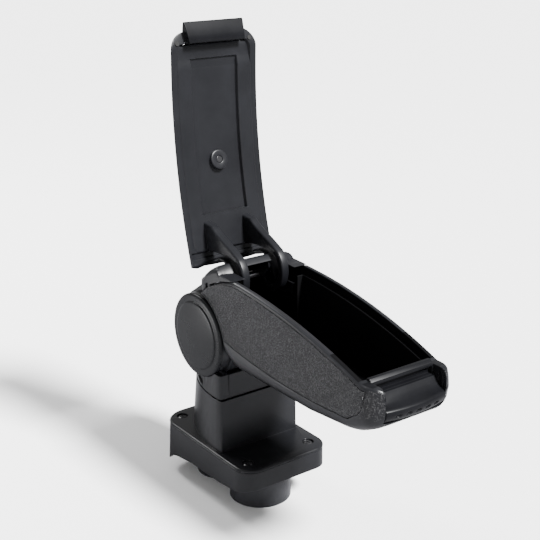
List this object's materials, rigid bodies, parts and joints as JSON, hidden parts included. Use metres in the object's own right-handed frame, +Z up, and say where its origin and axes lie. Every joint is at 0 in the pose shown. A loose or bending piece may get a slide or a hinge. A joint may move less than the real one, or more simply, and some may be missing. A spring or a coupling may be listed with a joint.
{
  "type": "car centre armrest",
  "caption": "Console armrest: storage box with a raised gooseneck lid and latch tab, pivoting in a forked column on a base with two cup holder plugs.",
  "frame": {"origin": "centre of the underside of the front plug", "axes": "+X towards the front end of the box, where the latch is; +Z up, out of the cup holders; +Y to the left of somebody who faces forward"},
  "size_m": [0.35, 0.111, 0.4942],
  "materials": {
    "satin_black": "satin",
    "gloss_black": "gloss",
    "grained_black": "fine leather-like grain",
    "screw_black": "black zinc",
    "zinc_steel": "zinc plated",
    "rubber_black": "matte"
  },
  "bodies": {
    "base": {"front_plug": "gloss_black", "rear_plug": "gloss_black", "base_skirt": "satin_black", "base_top": "satin_black", "base_screws": "screw_black", "neck_fork": "satin_black", "neck_front_cover": "satin_black", "neck_rear_cover": "satin_black", "pivot_cap_left": "satin_black", "pivot_cap_right": "satin_black", "axle_bolt": "zinc_steel", "axle_nut": "zinc_steel"},
    "armrest": {"hub_barrel": "satin_black", "box_shell": "satin_black", "side_panel_left": "grained_black", "side_panel_right": "grained_black", "tray_liner": "satin_black", "rear_cover": "satin_black", "front_lip": "satin_black", "lid_pin": "zinc_steel"},
    "lid": {"lid_cover": "satin_black", "lid_inner_plate": "satin_black", "lid_screw": "zinc_steel", "lid_bumpers": "rubber_black", "latch_pin": "zinc_steel"},
    "latch": {"latch_tab": "satin_black"}
  },
  "joints": [
    {"name": "armrest_pivot", "type": "hinge", "parent": "base", "child": "armrest", "pos_m": [-0.0425, 0, 0.181], "axis": [0, -1, 0], "range_deg": [0, 95]},
    {"name": "lid_hinge", "type": "hinge", "parent": "armrest", "child": "lid", "pos_m": [-0.0246, 0, 0.24], "axis": [0, 1, 0], "range_deg": [0, 107.5]},
    {"name": "latch_pivot", "type": "hinge", "parent": "lid", "child": "latch", "pos_m": [-0.07843, 0, 0.47425], "axis": [0, -1, 0], "range_deg": [0, 15], "stiffness_Nm_per_rad": 0.05, "springref_deg": -14.9}
  ]
}
